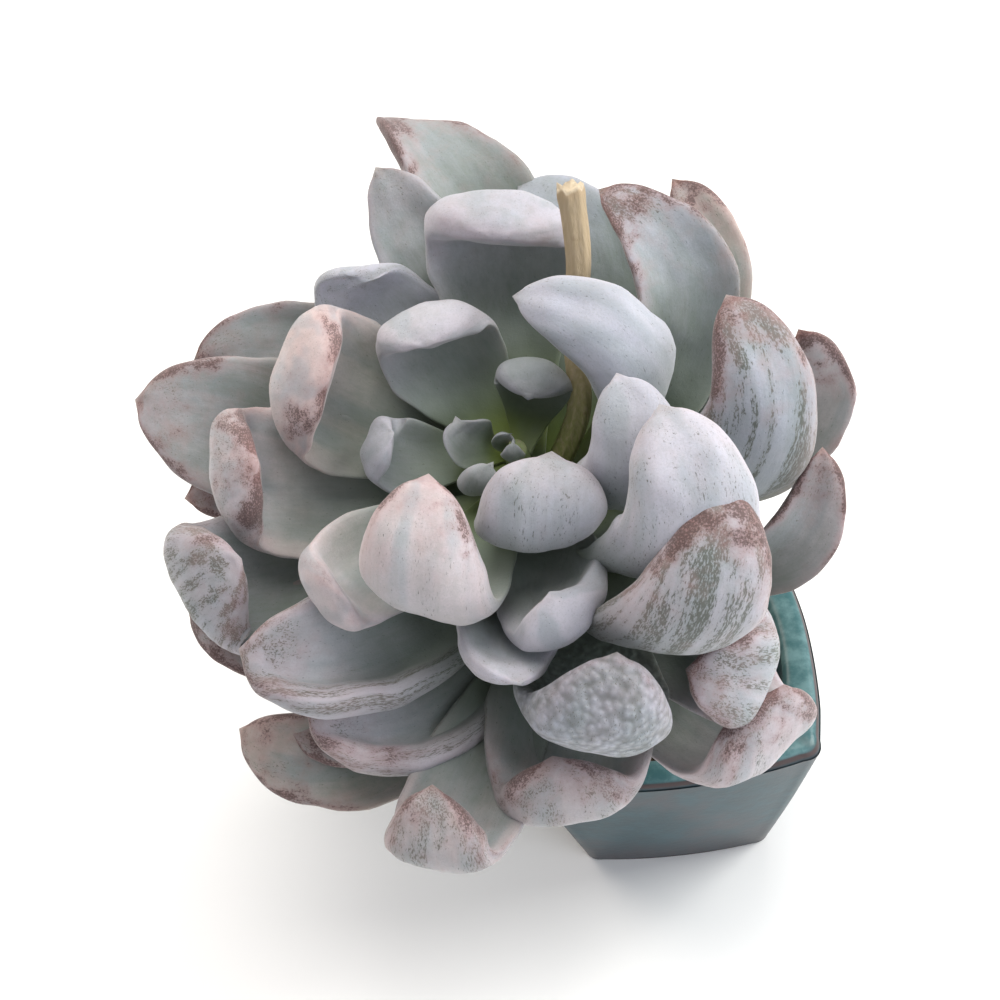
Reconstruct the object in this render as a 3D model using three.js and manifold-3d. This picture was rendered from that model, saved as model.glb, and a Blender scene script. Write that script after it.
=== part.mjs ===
// Potted variegated roly poly echeveria: a rosette of thick, hooked, spoon-shaped leaves on a short
// leaning stem, with the dry stub of a cut flower stalk, in a small square glazed pot.
// Millimetres, +Z up. The origin is the centre of the pot's underside, and the pot's front faces -Y.
import * as THREE from "three";
import { mergeVertices } from "three/addons/utils/BufferGeometryUtils.js";
import Module from "manifold-3d";

const wasm = await Module();
wasm.setup();

// Pot: a square cup with bulging sides and a thick rounded lip
const potHeight = 62;
const rimHalf = 35.7; // half the side of the square at the rim, measured at the corners
const rimBulge = 3.7; // how far the middle of a side stands out past its corners
const footHalf = 26;
const footBulge = 1.4;
const cornerRound = 5;
const wall = 4.5;
const lipInset = 8; // width of the lip, seen from above
const lipRise = 1.5;
const floorThickness = 6;
const soilTop = 53;
const soilGap = 0.6; // gap kept between the soil and the inside of the pot

// Stem: it leans to the left out of the soil and turns up under the head
const fit = 0.3; // gap kept between pieces that touch
const stemRadius = 5.2;
const stemTopRadius = 3.2;
const stemRooted = 14; // length of stem below the soil's surface
const stalkRadius = 2.9;

// Head: the leaves are placed as they are seen from a viewing point in front of the plant
const heart = new THREE.Vector3(-27.7, 7.6, 136);
const headAxis = new THREE.Vector3(-0.1, -0.22, 0.97).normalize();
const viewHeight = 48; // degrees above the horizon
const viewTurn = 5.7; // degrees to the right of the pot's front
const viewRoll = -11.5;
const viewDistance = 289;

// Leaf facets
const leafRings = 10;
const leafSides = 8;
const mucro = 1.2; // length of the small point at a leaf's tip
const curlStart = 0.3; // share of a leaf's half width from where a curled side turns up

// Leaf proportions
const leafThick = 0.26; // depth of a leaf past its neck, as a share of its width
const leafCup = 0.3; // rise of a leaf's sides, as a share of its half width
const leafHollow = 0.55; // sinking of the upper face along its middle, as a share of its depth

const degrees = THREE.MathUtils.degToRad;
const eased = (from, to, x) => THREE.MathUtils.smoothstep(x, from, to);

// A closed body from rings of points, each end closed to a point of its own.
function loft(rings, start, end) {
  const count = rings[0].length;
  const points = [...rings.flat(), start, end];
  const startIndex = points.length - 2;
  const endIndex = points.length - 1;
  const faces = [];
  for (let j = 0; j < count; j++) {
    const k = (j + 1) % count;
    faces.push(k, j, startIndex);
    for (let i = 0; i + 1 < rings.length; i++) {
      const a = i * count + j;
      const b = i * count + k;
      const c = b + count;
      const d = a + count;
      faces.push(a, b, c, a, c, d);
    }
    const last = (rings.length - 1) * count;
    faces.push(last + j, last + k, endIndex);
  }
  const geometry = new THREE.BufferGeometry().setFromPoints(points);
  geometry.setIndex(faces);
  return geometry;
}

function solid(geometry) {
  const merged = mergeVertices(geometry, 1e-4);
  return new wasm.Manifold(
    new wasm.Mesh({
      numProp: 3,
      vertProperties: merged.attributes.position.array,
      triVerts: new Uint32Array(merged.index.array),
    }),
  );
}

function geometryOf(body) {
  const { vertProperties, triVerts } = body.getMesh();
  const geometry = new THREE.BufferGeometry();
  geometry.setAttribute("position", new THREE.BufferAttribute(vertProperties, 3));
  geometry.setIndex(new THREE.BufferAttribute(triVerts, 1));
  geometry.computeVertexNormals();
  return geometry;
}

// The largest body left of a piece after its neighbours are cut from it
function largest(body) {
  return body.decompose().reduce((a, b) => (b.volume() > a.volume() ? b : a));
}

function mesh(name, body, color, roughness) {
  const material = new THREE.MeshStandardMaterial({ color, roughness, metalness: 0 });
  const made = new THREE.Mesh(geometryOf(body), material);
  made.name = name;
  return made;
}

// A square whose sides bulge and whose corners are rounded, at one height
function squareRing(half, bulge, round, z) {
  const shape = new THREE.Shape();
  const edge = half - round;
  shape.moveTo(-edge, -half);
  for (let side = 0; side < 4; side++) {
    const turn = (x, y) => {
      const p = new THREE.Vector2(x, y).rotateAround(new THREE.Vector2(), (side * Math.PI) / 2);
      return [p.x, p.y];
    };
    shape.quadraticCurveTo(...turn(0, -half - 2 * bulge), ...turn(edge, -half));
    shape.quadraticCurveTo(...turn(half, -half), ...turn(half, -edge));
  }
  const points = shape.getPoints(5);
  points.pop();
  return points.map((p) => new THREE.Vector3(p.x, p.y, z));
}

function potBody() {
  const rimOuter = potHeight - 1.8;
  const innerHalf = rimHalf - lipInset;
  const innerFloorHalf = footHalf - wall;
  const rings = [
    squareRing(footHalf - 1.2, footBulge, cornerRound, 0),
    squareRing(footHalf, footBulge, cornerRound, 1.5),
    squareRing(0.5 * (footHalf + rimHalf) + 0.3, 0.5 * (footBulge + rimBulge), cornerRound, 0.5 * rimOuter),
    squareRing(rimHalf, rimBulge, cornerRound, rimOuter),
    squareRing(rimHalf - 0.5, rimBulge, cornerRound, potHeight),
    squareRing(rimHalf - 0.4 * lipInset, rimBulge, cornerRound, potHeight + lipRise),
    squareRing(rimHalf - 0.8 * lipInset, rimBulge, cornerRound, potHeight + 0.6 * lipRise),
    squareRing(innerHalf, rimBulge, cornerRound, potHeight - 2),
    squareRing(innerFloorHalf, footBulge, cornerRound, floorThickness),
  ];
  const under = new THREE.Vector3(0, 0, 0);
  const inside = new THREE.Vector3(0, 0, floorThickness);
  return solid(loft(rings, under, inside));
}

// Half the inner width of the pot at a height, less the gap that the soil keeps to the wall
function soilHalf(z) {
  const rise = (z - floorThickness) / (potHeight - 2 - floorThickness);
  const inner = THREE.MathUtils.lerp(footHalf - wall, rimHalf - lipInset, rise);
  return inner - soilGap;
}

function soilBody() {
  const low = floorThickness + fit;
  const rings = [
    squareRing(soilHalf(low), footBulge, cornerRound, low),
    squareRing(soilHalf(soilTop), 0.85 * rimBulge, cornerRound, soilTop),
    squareRing(0.6 * soilHalf(soilTop), 0.6 * rimBulge, cornerRound, soilTop + 1.6),
  ];
  const under = new THREE.Vector3(0, 0, low);
  const crown = new THREE.Vector3(0, 0, soilTop + 2.4);
  return solid(loft(rings, under, crown));
}

const stemFoot = new THREE.Vector3(-4, 3, soilTop - stemRooted);
const stemCurve = new THREE.CubicBezierCurve3(
  stemFoot,
  stemFoot.clone().add(new THREE.Vector3(-5, 2, 36)),
  heart.clone().addScaledVector(headAxis, -33),
  heart.clone().addScaledVector(headAxis, -1),
);
const stemLength = stemCurve.getLength();

// A round rod along a curve, its radius running from one size to the other
function rod(curve, steps, sides, startRadius, endRadius) {
  const { normals, binormals } = curve.computeFrenetFrames(steps, false);
  const rings = [];
  for (let i = 0; i <= steps; i++) {
    const centre = curve.getPointAt(i / steps);
    const radius = THREE.MathUtils.lerp(startRadius, endRadius, i / steps);
    const ring = [];
    for (let j = 0; j < sides; j++) {
      const angle = (2 * Math.PI * j) / sides;
      ring.push(
        centre
          .clone()
          .addScaledVector(normals[i], radius * Math.cos(angle))
          .addScaledVector(binormals[i], radius * Math.sin(angle)),
      );
    }
    rings.push(ring);
  }
  return solid(loft(rings, curve.getPointAt(0), curve.getPointAt(1)));
}

// The point of the stem's centre line at a distance below the heart
function stemPoint(below) {
  return stemCurve.getPointAt(1 - below / stemLength);
}

// The directions right, up and toward the viewer, seen from the viewing point
const toward = new THREE.Vector3(0, 0, 1)
  .applyAxisAngle(new THREE.Vector3(1, 0, 0), degrees(90 - viewHeight))
  .applyAxisAngle(new THREE.Vector3(0, 0, 1), degrees(viewTurn));
const viewRight = new THREE.Vector3(0, 0, 1).cross(toward).normalize();
viewRight.applyAxisAngle(toward, degrees(viewRoll));
const viewUp = toward.clone().cross(viewRight);
const viewCentre = [2.9, 11.6]; // the heart's place right of and above the line of sight
const eye = heart
  .clone()
  .addScaledVector(viewRight, -viewCentre[0])
  .addScaledVector(viewUp, -viewCentre[1])
  .addScaledVector(toward, viewDistance);

// A place on the head: millimetres right and up as seen against the heart, and height along the head's axis
function headPoint([right, up, height]) {
  const sight = heart
    .clone()
    .addScaledVector(viewRight, right)
    .addScaledVector(viewUp, up)
    .sub(eye);
  const reach = heart.clone().sub(eye).dot(headAxis) + height;
  return eye.clone().addScaledVector(sight, reach / sight.dot(headAxis));
}

const rounded = (x, power) => Math.sign(x) * Math.abs(x) ** power;

// One leaf. Its midrib leaves the stem flatter than its chord, passes through the crest where the leaf
// bends, and ends at the tip. Across it the leaf is a cupped, round-edged band that widens from a
// narrow seat and closes round at the tip, and its thickness swells where it hooks over. The band
// turns from the seat's own direction to the given one, the angle of its crest as seen by the viewer.
// A curled leaf has one side that turns up along an arc.
function leafBody(leaf, grow = 0) {
  const { seat, crest, tip, width, cross } = leaf;
  const { blunt = 4.5, sunk = 3.5, curl = 0, neck = 0.27, widest = 0.66, puff = 0.35 } = leaf;
  const crestPoint = headPoint(crest);
  const tipPoint = headPoint(tip);
  const seatCentre = stemPoint(seat);
  const outward = crestPoint.clone().sub(seatCentre).projectOnPlane(headAxis).normalize();
  const foot = seatCentre.addScaledVector(outward, sunk);
  const chord = crestPoint.clone().sub(foot);
  const rise = chord.dot(headAxis);
  const lead = chord.clone().projectOnPlane(headAxis).addScaledVector(headAxis, 0.5 * rise);
  const hook = tipPoint.distanceTo(crestPoint);
  const t = THREE.MathUtils.clamp(chord.length() / (chord.length() + hook), 0.5, 0.82);
  const first = foot.clone().addScaledVector(lead, 0.5);
  const second = crestPoint
    .clone()
    .addScaledVector(foot, -((1 - t) ** 3))
    .addScaledVector(first, -3 * (1 - t) ** 2 * t)
    .addScaledVector(tipPoint, -(t ** 3))
    .divideScalar(3 * (1 - t) * t * t);
  const midrib = new THREE.CubicBezierCurve3(foot, first, second, tipPoint);

  const seatRun = midrib.getTangent(0);
  const seatFace = headAxis.clone().projectOnPlane(seatRun).normalize();
  const seatCross = seatRun.clone().cross(seatFace);
  const crestCross = viewRight
    .clone()
    .multiplyScalar(Math.cos(degrees(cross)))
    .addScaledVector(viewUp, Math.sin(degrees(cross)));
  if (crestCross.dot(seatCross) < 0) crestCross.negate();

  const rings = [];
  for (let i = 0; i < leafRings; i++) {
    const even = i / leafRings;
    const s = 0.5 * even + 0.5 * Math.sin((even * Math.PI) / 2);
    const centre = midrib.getPointAt(s);
    const run = midrib.getTangentAt(s);
    const across = seatCross
      .clone()
      .lerp(crestCross, eased(0.08, 0.62, s))
      .projectOnPlane(run)
      .normalize();
    const face = across.clone().cross(run);
    const spread = neck + (1 - neck) * eased(0, widest, s) ** 0.9;
    const half = 0.5 * width * spread * Math.sqrt(1 - s ** blunt) + grow;
    const swell = puff * Math.exp(-(((s - 0.82) / 0.16) ** 2));
    const body = leafThick * (0.42 + 0.58 * eased(0.1, 0.6, s) + swell);
    const depth = width * body * Math.sqrt(1 - s ** (blunt + 2)) + 2 * grow;
    const cupped =
      leafCup * half * (0.5 + 0.5 * eased(0, 0.4, s)) * (1 - 0.8 * eased(0.6, 0.95, s));
    const dip = leafHollow * eased(0.25, 0.55, s) * (1 - eased(0.82, 0.97, s));
    const bend = Math.max(Math.abs(curl) * eased(0.2, 0.6, s) * (1 - eased(0.9, 1, s)), 1e-3);
    const side = curl < 0 ? -1 : 1;
    const ring = [];
    for (let j = 0; j < leafSides; j++) {
      const angle = (-2 * Math.PI * j) / leafSides;
      const x = rounded(Math.cos(angle), 0.88);
      const y = rounded(Math.sin(angle), 0.66);
      const through = depth * y * (y > 0 ? 0.42 * (1 - dip * (1 - x * x)) : 0.58);
      const past = THREE.MathUtils.clamp((x * side - curlStart) / (1 - curlStart), 0, 1);
      const arc = bend * past;
      const reach = past > 0 ? curlStart + ((1 - curlStart) * Math.sin(arc)) / bend : x * side;
      const turnedUp = (half * (1 - curlStart) * (1 - Math.cos(arc))) / bend;
      const rim = curl && past > 0 ? curlStart : Math.abs(x);
      const lift = cupped * (rim ** 2.2 - 0.35) + turnedUp + through * Math.cos(arc);
      const sideways = side * (half * reach - through * Math.sin(arc));
      ring.push(
        centre.clone().addScaledVector(across, sideways).addScaledVector(face, lift),
      );
    }
    rings.push(ring);
  }
  const point = tipPoint.clone().addScaledVector(midrib.getTangent(1), mucro + grow);
  const start = foot.clone().addScaledVector(seatRun, -grow);
  return solid(loft(rings, start, point));
}

// Every leaf: its seat's distance below the heart along the stem, its crest and tip as headPoint
// reads them, its width, and the angle of its cross direction as the viewer sees it, with what sets it apart
const leaves = {
  inner: [
    { seat: 5, crest: [-29, 0, 4], tip: [-27, 3, 10], width: 18, cross: 80, blunt: 6, puff: 0.6 },
    { seat: 6, crest: [6.3, -17, 13], tip: [8.5, -2, 24], width: 27, cross: 10, blunt: 9 },
    { seat: 10, crest: [26, -7, 14], tip: [23.5, 15.5, 30], width: 24, cross: -2, blunt: 5 },
    { seat: 8, crest: [-19.5, -31, 16], tip: [-19, -7, 31], width: 30, cross: -20 },
    { seat: 9, crest: [-18, 24.5, 12], tip: [-19.5, 23, 21], width: 29, cross: 15, blunt: 7, puff: 0.6 },
    { seat: 9, crest: [10, -36.3, 7], tip: [8.5, -32.8, 14], width: 27, cross: 38, blunt: 6, puff: 0.6 },
  ],
  middle: [
    { seat: 11, crest: [-43.5, 14.5, 10], tip: [-41, 16, 24], width: 38, cross: 77, blunt: 7, puff: 0.5 },
    { seat: 12, crest: [-39, -31.5, 6], tip: [-37, -34, 15], width: 26, cross: -52, blunt: 6, puff: 0.5 },
    { seat: 16, crest: [-1, -47, 0], tip: [1, -52, 5], width: 26, cross: -10 },
    { seat: 15, crest: [38, -22, 12], tip: [33, 8.5, 34], width: 32, cross: -6 },
    { seat: 26, crest: [28.5, 9, 6], tip: [1, 33.5, 30], width: 23, cross: 57 },
    { seat: 13, crest: [-3.5, 48.5, 20], tip: [-4.5, 47, 29], width: 38, cross: -4,
      blunt: 8, puff: 0.6, widest: 0.8, neck: 0.22 },
    { seat: 17, crest: [-60.2, -5.5, 5], tip: [-57, -3.5, 15], width: 38, cross: 100,
      blunt: 6, puff: 0.5 },
    { seat: 18, crest: [-35.5, 35.5, 10], tip: [-37.5, 38.5, 16], width: 32, cross: 5,
      blunt: 7, puff: 0.5 },
  ],
  outer: [
    { seat: 26, crest: [36, -38.8, 2], tip: [48.5, -9.8, 26], width: 35.5, cross: 0, blunt: 3 },
    { seat: 27, crest: [-34.5, -44.8, -9], tip: [-59.8, -45, 2], width: 36, cross: 113,
      curl: -2.1, blunt: 4 },
    { seat: 21, crest: [-64.5, 5.5, 0], tip: [-83, 10.5, 6], width: 41, cross: 84 },
    { seat: 22, crest: [51.8, -2, 8], tip: [48, 33, 30], width: 29, cross: -8, blunt: 3.3 },
    { seat: 22, crest: [38, 27, 12], tip: [20, 57, 30], width: 28, cross: 27, blunt: 2.8 },
    { seat: 24, crest: [-22, 48, 11], tip: [-30, 61.5, 21], width: 28, cross: 5 },
    { seat: 26, crest: [20, -60, -8], tip: [23, -46.5, 8], width: 36, cross: -5 },
    { seat: 26, crest: [-68, -30, -6], tip: [-61, -25, 5], width: 40, cross: -60 },
    { seat: 29, crest: [15.5, 42.5, 2], tip: [2, 58, 10], width: 31, cross: 18 },
  ],
  lower: [
    { seat: 30, crest: [-7, 53.5, 8], tip: [-29.5, 73, 16], width: 32, cross: -14, blunt: 3.6 },
    { seat: 28, crest: [-50, 24, -3], tip: [-70, 20, 1], width: 25, cross: 68, blunt: 3.4 },
    { seat: 38, crest: [-27, -58.5, -22], tip: [-45, -58, -12], width: 36, cross: 120, curl: -1.7 },
    { seat: 30, crest: [43, 43, -4], tip: [36, 59, 6], width: 25, cross: 40, blunt: 4 },
    { seat: 32, crest: [50, -51, -14], tip: [39.5, -49.5, -6], width: 32, cross: 66 },
    { seat: 32, crest: [59.5, -24, -14], tip: [68.8, -1, 4], width: 19, cross: -25 },
    { seat: 32, crest: [67.5, 11.5, -8], tip: [64, 25.5, 6], width: 22, cross: -10 },
    { seat: 30, crest: [-58, -9, -14], tip: [-72, -11, -12], width: 24, cross: 80 },
    { seat: 34, crest: [-59, -41, -25], tip: [-71.5, -36, -21], width: 28, cross: -50 },
    { seat: 32, crest: [-37, -63, -26], tip: [-48.5, -63, -22], width: 24, cross: 105 },
    { seat: 36, crest: [-41, -69, -28], tip: [-60, -63, -24], width: 29, cross: 105 },
    { seat: 40, crest: [-17.5, -87.5, -20], tip: [-18, -76, -11], width: 34, cross: -10,
      widest: 0.85, neck: 0.18 },
    { seat: 40, crest: [10.8, -76.3, -28], tip: [9, -69.5, -19], width: 41, cross: 4 },
    { seat: 38, crest: [54.5, -63, -32], tip: [60, -53.5, -20], width: 38, cross: 33 },
    { seat: 34, crest: [-6, 48, -2], tip: [-14, 60, 6], width: 32, cross: 10 },
    { seat: 36, crest: [22, 42, -6], tip: [24, 50, 0], width: 30, cross: 0 },
    { seat: 36, crest: [-36, 28, -10], tip: [-43, 33, -4], width: 30, cross: 40 },
    { seat: 38, crest: [48, 18, -14], tip: [55, 22, -8], width: 28, cross: 110 },
    { seat: 42, crest: [46, -12, -30], tip: [54, -14, -26], width: 26, cross: 90 },
    { seat: 42, crest: [-46, -8, -30], tip: [-58, -8, -28], width: 30, cross: 90 },
  ],
  heart: [
    { seat: 0, crest: [0, -2, 3], tip: [0, 1, 8], width: 6, cross: 0, sunk: 0 },
    { seat: 0.5, crest: [-2, 1, 2], tip: [-1, 3, 6], width: 6, cross: 0, sunk: 1 },
    { seat: 2, crest: [-9.5, 1.5, 4], tip: [-12.5, 6, 8], width: 14, cross: 60, sunk: 2 },
    { seat: 3, crest: [-7, -8, 6], tip: [-5, -4, 10], width: 12, cross: 0, sunk: 2 },
    { seat: 4, crest: [5, 15, 5], tip: [3.5, 11.5, 11], width: 19, cross: -8, sunk: 2, blunt: 6 },
  ],
};

// The cut flower stalk, from its seat beside the heart to its dry end
const stalkCurve = new THREE.CatmullRomCurve3([
  stemPoint(16).addScaledVector(viewRight, 3),
  headPoint([14.5, 8, -2]),
  headPoint([13.5, 26, 12]),
  headPoint([14.5, 42, 25]),
  headPoint([12.5, 59, 40]),
]);

const placed = [];

// Cuts the pieces placed before from a new one, adds the mesh, and keeps the piece with its gap
// for those that follow
function place(name, body, grown, color, roughness) {
  let rest = body;
  for (const other of placed) rest = rest.subtract(other);
  placed.push(grown.add(body));
  group.add(mesh(name, largest(rest), color, roughness));
}

const group = new THREE.Group();
const stemBody = (grow) => rod(stemCurve, 14, 12, stemRadius + grow, stemTopRadius + grow);
const stalkBody = (grow) => rod(stalkCurve, 10, 8, stalkRadius + grow, stalkRadius + grow);

const stem = stemBody(0);
group.add(mesh("pot", potBody(), 0x5d787e, 0.3));
group.add(mesh("soil", largest(soilBody().subtract(stemBody(fit))), 0x4a3b2e, 0.95));
place("stem", stem, stemBody(fit), 0x8a9a78, 0.7);
place("flower_stalk", stalkBody(0), stalkBody(fit), 0xd8c9a4, 0.8);

const heartBody = (grow) =>
  leaves.heart.map((leaf) => leafBody(leaf, grow)).reduce((a, b) => a.add(b));
place("heart_leaves", heartBody(0), heartBody(fit), 0xa9b8a4, 0.6);

const layers = ["inner", "middle", "outer", "lower"];
for (const layer of layers) {
  leaves[layer].forEach((leaf, i) => {
    const name = `${layer}_leaf_${i + 1}`;
    place(name, leafBody(leaf), leafBody(leaf, fit), 0xd9d6da, 0.55);
  });
}

export default group;
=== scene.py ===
# A variegated roly poly echeveria in a small square glazed pot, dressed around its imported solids.
# Shapes are worked out in millimetres and put into the meshes in metres.
import math
import bpy
import numpy as np
from mathutils import Matrix


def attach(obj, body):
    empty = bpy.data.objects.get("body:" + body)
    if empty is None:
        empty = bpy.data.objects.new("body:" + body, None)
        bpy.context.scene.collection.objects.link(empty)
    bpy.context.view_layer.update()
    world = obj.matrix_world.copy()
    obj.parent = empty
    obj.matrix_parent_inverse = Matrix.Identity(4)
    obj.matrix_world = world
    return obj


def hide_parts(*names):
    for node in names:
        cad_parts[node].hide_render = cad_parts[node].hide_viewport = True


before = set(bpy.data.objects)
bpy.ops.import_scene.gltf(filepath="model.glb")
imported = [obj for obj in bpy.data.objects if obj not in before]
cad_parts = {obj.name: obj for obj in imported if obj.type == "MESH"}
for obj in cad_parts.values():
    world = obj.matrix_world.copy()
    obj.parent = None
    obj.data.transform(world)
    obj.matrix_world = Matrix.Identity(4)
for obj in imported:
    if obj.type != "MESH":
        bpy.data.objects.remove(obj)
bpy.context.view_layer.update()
millimetre = 0.001
print("frame loaded:", len(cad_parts), "nodes")


# small helpers for vectors, kept as whole arrays

def unit(v):
    return v / np.linalg.norm(v, axis=-1, keepdims=True)


def dot(a, b):
    return (a * b).sum(-1, keepdims=True)


def eased(low, high, x):
    # smooth step: 0 below low, 1 above high, 3t^2 - 2t^3 between
    t = np.clip((x - low) / (high - low), 0, 1)
    return t * t * (3 - 2 * t)


def bezier(points, count):
    # cubic Bezier through four control points, sampled evenly by its own length
    t = np.linspace(0, 1, 600)[:, None]
    a, b, c, d = [np.asarray(p, float) for p in points]
    line = (1 - t) ** 3 * a + 3 * (1 - t) ** 2 * t * b + 3 * (1 - t) * t * t * c + t ** 3 * d
    return resampled(line, count)


def resampled(line, count):
    # the same line with points at even or given shares of its length; also returns that length
    gone = np.concatenate([[0], np.cumsum(np.linalg.norm(np.diff(line, axis=0), axis=1))])
    shares = np.linspace(0, 1, count) if np.isscalar(count) else count
    picked = [np.interp(shares, gone / gone[-1], line[:, k]) for k in range(3)]
    return np.stack(picked, -1), gone[-1]


def wave(points, scale, seed):
    # smooth lumps: a sum of six sine waves in directions drawn from the seed, about -1 to 1
    draw = np.random.default_rng(seed)
    total = np.zeros(points.shape[:-1])
    for turn in range(6):
        direction = unit(draw.normal(size=3))
        total += np.sin(points @ direction / scale * draw.uniform(0.7, 1.6) + draw.uniform(0, 6.28))
    return total / 3


# a closed surface from rings of points, closed to one point at each end

def closedSkin(name, rings, start, end, values=None):
    count, around = rings.shape[:2]
    index = np.arange(count * around).reshape(count, around)
    beside = np.roll(index, -1, 1)
    sides = np.stack([index[:-1], beside[:-1], beside[1:], index[1:]], -1).reshape(-1, 4)
    first, last = count * around, count * around + 1
    startFan = np.stack([beside[0], index[0], np.full(around, first)], -1)
    endFan = np.stack([index[-1], beside[-1], np.full(around, last)], -1)
    points = np.concatenate([rings.reshape(-1, 3), [start, end]]) * millimetre
    fans = np.concatenate([startFan, endFan])
    corners = np.concatenate([sides.ravel(), fans.ravel()])
    sizes = np.concatenate([np.full(len(sides), 4), np.full(len(fans), 3)])
    mesh = bpy.data.meshes.new(name)
    mesh.vertices.add(len(points))
    mesh.vertices.foreach_set("co", points.astype(np.float32).ravel())
    mesh.loops.add(len(corners))
    mesh.loops.foreach_set("vertex_index", corners.astype(np.int32))
    mesh.polygons.add(len(sizes))
    starts = np.concatenate([[0], np.cumsum(sizes)[:-1]])
    mesh.polygons.foreach_set("loop_start", starts.astype(np.int32))
    mesh.polygons.foreach_set("use_smooth", np.full(len(sizes), True))
    mesh.update(calc_edges=True)
    mesh.validate()
    for key, value in (values or {}).items():
        grid, startValue, endValue = value
        kind = "FLOAT_VECTOR" if np.ndim(startValue) else "FLOAT"
        whole = np.concatenate([grid.reshape(count * around, -1), np.reshape([startValue, endValue], (2, -1))])
        attribute = mesh.attributes.new(key, kind, "POINT")
        attribute.data.foreach_set("vector" if np.ndim(startValue) else "value", whole.astype(np.float32).ravel())
    piece = bpy.data.objects.new(name, mesh)
    bpy.context.scene.collection.objects.link(piece)
    return piece


def dress(piece, slot, material, *nodes):
    piece.data.materials.clear()
    piece.data.materials.append(material)
    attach(piece, "root")
    if nodes:
        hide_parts(*nodes)
    return piece


# shader maths: a wrapped socket, so that masks are written as plain expressions

class Wire:
    def __init__(self, kit, socket):
        self.kit = kit
        self.socket = socket

    def maths(self, operation, *others):
        return self.kit.node("ShaderNodeMath", {"operation": operation}, self, *others)

    def __add__(self, other):
        return self.maths("ADD", other)

    def __radd__(self, other):
        return self.maths("ADD", other)

    def __sub__(self, other):
        return self.maths("SUBTRACT", other)

    def __rsub__(self, other):
        return self.kit.node("ShaderNodeMath", {"operation": "SUBTRACT"}, other, self)

    def __mul__(self, other):
        return self.maths("MULTIPLY", other)

    def __rmul__(self, other):
        return self.maths("MULTIPLY", other)

    def __pow__(self, other):
        return self.maths("POWER", other)

    def held(self):
        return self.kit.node("ShaderNodeClamp", {}, self)

    def between(self, low, high):
        # smooth step from low to high
        return self.kit.node("ShaderNodeMapRange", {"interpolation_type": "SMOOTHSTEP"}, self, low, high, 0.0, 1.0)


class Finish:
    # one material and the one method that adds its nodes
    def __init__(self, name, **shader):
        self.material = bpy.data.materials.new(name)
        self.material.use_nodes = True
        self.tree = self.material.node_tree
        self.shader = self.tree.nodes["Principled BSDF"]
        for socket, value in shader.items():
            self.shader.inputs[socket.replace("_", " ")].default_value = value

    def node(self, kind, settings, *values, out=0, **named):
        made = self.tree.nodes.new(kind)
        for key, value in settings.items():
            if key == "stops":
                ramp = made.color_ramp.elements
                while len(ramp) < len(value):
                    ramp.new(0.5)
                for element, (place, colour) in zip(ramp, value):
                    element.position = place
                    element.color = (*colour, 1)
            else:
                setattr(made, key, value)
        pairs = [(made.inputs[k], v) for k, v in enumerate(values)]
        pairs += [(made.inputs[k.replace("_", " ")], v) for k, v in named.items()]
        for socket, value in pairs:
            if isinstance(value, Wire):
                self.tree.links.new(value.socket, socket)
            elif value is not None:
                socket.default_value = value
        return Wire(self, made.outputs[out])

    def place(self):
        return self.node("ShaderNodeTexCoord", {}, out="Object")

    def value(self, name):
        return self.node("ShaderNodeAttribute", {"attribute_name": name}, out="Fac")

    def vector(self, name):
        return self.node("ShaderNodeAttribute", {"attribute_name": name}, out="Vector")

    def parts(self, wire):
        made = self.node("ShaderNodeSeparateXYZ", {}, wire)
        owner = made.socket.node
        return [Wire(self, socket) for socket in owner.outputs]

    def scaled(self, wire, factors):
        return self.node("ShaderNodeVectorMath", {"operation": "MULTIPLY"}, wire, factors)

    def noise(self, wire, scale, detail=4, roughness=0.55):
        return self.node("ShaderNodeTexNoise", {}, Vector=wire, Scale=scale, Detail=detail, Roughness=roughness)

    def blend(self, share, first, second):
        # colours side by side: first where share is 0, second where it is 1
        return self.node("ShaderNodeMix", {"data_type": "RGBA"}, share, None, None, None, None, None,
                         first, second, out=2)

    def feed(self, socket, wire):
        self.tree.links.new(wire.socket, self.shader.inputs[socket])

    def relief(self, height, strength, distance):
        self.feed("Normal", self.node("ShaderNodeBump", {}, Strength=strength, Distance=distance, Height=height))


# camera: the photograph's view, from above and slightly right of the front, with the horizon tilted

camera = {
    "eye": (-12.8, -193.3, 343.6),  # mm
    "elevation": 48.0,
    "turn": 5.7,
    "roll": -11.5,
    "lens": 46.8,
    "sensor": 36.0,
}


def viewAxes():
    # right, up and toward-the-viewer directions of the camera
    rise, turn, roll = (math.radians(camera[k]) for k in ("elevation", "turn", "roll"))
    toward = np.array([math.sin(turn) * math.cos(rise), -math.cos(turn) * math.cos(rise), math.sin(rise)])
    level = unit(np.cross([0, 0, 1], toward))
    plumb = np.cross(toward, level)
    right = math.cos(roll) * level + math.sin(roll) * plumb
    up = math.cos(roll) * plumb - math.sin(roll) * level
    return right, up, toward


viewRight, viewUp, viewToward = viewAxes()
eye = np.array(camera["eye"])


def makeCamera():
    lens = bpy.data.cameras.new("photo_view")
    lens.lens = camera["lens"]
    lens.sensor_width = camera["sensor"]
    lens.clip_start = 0.01
    made = bpy.data.objects.new("photo_view", lens)
    turned = Matrix([list(row) for row in np.stack([viewRight, viewUp, viewToward], 1)]).to_4x4()
    turned.translation = [c * millimetre for c in eye]
    made.matrix_world = turned
    bpy.context.scene.collection.objects.link(made)
    bpy.context.scene.camera = made


makeCamera()

# the pot: a square cup with bulging sides, rounded corners and a thick rolled lip

pot = {
    "height": 62.0,
    "rimHalf": 35.7,
    "rimBulge": 3.7,
    "footHalf": 26.0,
    "footBulge": 1.4,
    "corner": 5.0,
    "wall": 4.5,
    "lipInset": 8.0,
    "lipRise": 1.5,
    "floor": 6.0,
}


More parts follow.
